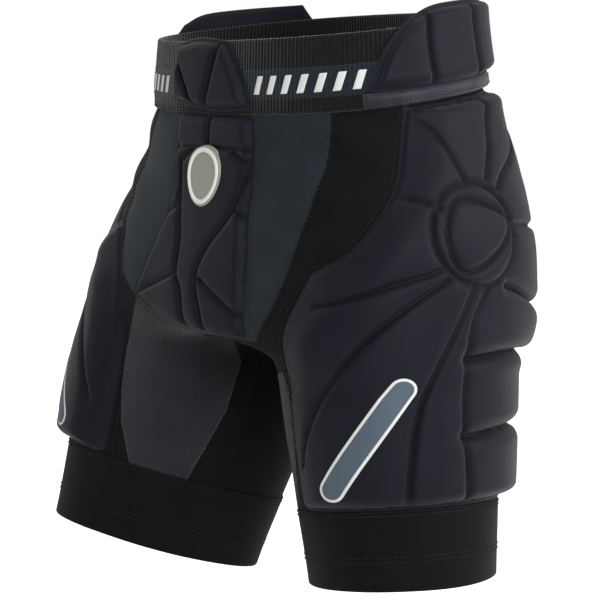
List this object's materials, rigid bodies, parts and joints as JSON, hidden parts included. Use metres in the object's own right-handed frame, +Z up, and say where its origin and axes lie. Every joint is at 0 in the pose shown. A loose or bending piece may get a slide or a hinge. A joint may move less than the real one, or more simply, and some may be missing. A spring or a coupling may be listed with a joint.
{
  "type": "padded impact shorts",
  "caption": "Close-fitting stretch shorts with moulded foam pads over hips, thighs, groin and seat, an elastic waistband and fold-over padded flaps, held in a walking stance.",
  "frame": {"origin": "centre of the waist opening, level with the waistband's top edge", "axes": "+Z up out of the waist; the wearer faces -Y and the wearer's left is +X"},
  "size_m": [0.4267, 0.3231, 0.4915],
  "materials": {
    "band_elastic": "woven jacquard elastic",
    "binding_tape": "satin stretch binding",
    "pad_cover": "brushed stretch knit, moulded",
    "pad_foam": "closed-cell foam",
    "slate_knit": "matte stretch knit",
    "black_knit": "matte stretch knit",
    "mesh_knit": "open mesh knit",
    "gripper_silicone": "silicone-backed elastic",
    "badge_rubber": "soft moulded rubber",
    "print_rubber": "printed rubber film",
    "label_satin": "satin ribbon"
  },
  "bodies": {
    "shorts": {"care_label": "label_satin", "centre_badge": "badge_rubber", "crotch_gusset": "black_knit", "groin_cover": "pad_cover", "groin_foam": "pad_foam", "groin_lining": "black_knit", "left_cuff": "black_knit", "left_flap_binding": "binding_tape", "left_front_panel": "black_knit", "left_hem_gripper": "gripper_silicone", "left_hip_cover": "pad_cover", "left_hip_foam": "pad_foam", "left_hub_pad": "pad_foam", "left_inner_panel": "black_knit", "left_mesh_panel": "mesh_knit", "left_rear_thigh_foam": "pad_foam", "left_rear_thigh_panel": "black_knit", "left_seat_foam": "pad_foam", "left_side_lining": "black_knit", "left_slate_panel": "slate_knit", "left_thigh_cover": "pad_cover", "left_thigh_foam": "pad_foam", "left_thigh_lining": "black_knit", "left_thigh_print": "print_rubber", "right_cuff": "black_knit", "right_flap_binding": "binding_tape", "right_front_panel": "black_knit", "right_hem_gripper": "gripper_silicone", "right_hip_cover": "pad_cover", "right_hip_foam": "pad_foam", "right_hub_pad": "pad_foam", "right_inner_panel": "black_knit", "right_mesh_panel": "mesh_knit", "right_rear_thigh_foam": "pad_foam", "right_rear_thigh_panel": "black_knit", "right_seat_foam": "pad_foam", "right_side_lining": "black_knit", "right_slate_panel": "slate_knit", "right_thigh_cover": "pad_cover", "right_thigh_foam": "pad_foam", "right_thigh_lining": "black_knit", "right_thigh_print": "print_rubber", "seat_cover": "pad_cover", "seat_panel": "black_knit", "tailbone_foam": "pad_foam", "waistband": "band_elastic"},
    "front_flap": {"front_flap_cover": "pad_cover", "front_flap_foam": "pad_foam"},
    "left_hip_flap": {"left_hip_flap_cover": "pad_cover", "left_hip_flap_foam": "pad_foam"},
    "right_hip_flap": {"right_hip_flap_cover": "pad_cover", "right_hip_flap_foam": "pad_foam"}
  },
  "joints": [
    {"name": "front_flap_fold", "type": "hinge", "parent": "shorts", "child": "front_flap", "pos_m": [0.01, -0.1075, -0.0662], "axis": [1, 0, 0], "range_deg": [0, 85]},
    {"name": "left_hip_flap_fold", "type": "hinge", "parent": "shorts", "child": "left_hip_flap", "pos_m": [0.1525, 0.025, -0.0495], "axis": [-0.204, 0.972, 0.117], "range_deg": [0, 70]},
    {"name": "right_hip_flap_fold", "type": "hinge", "parent": "shorts", "child": "right_hip_flap", "pos_m": [-0.1525, 0.025, -0.0495], "axis": [-0.204, -0.972, -0.117], "range_deg": [0, 70]}
  ]
}
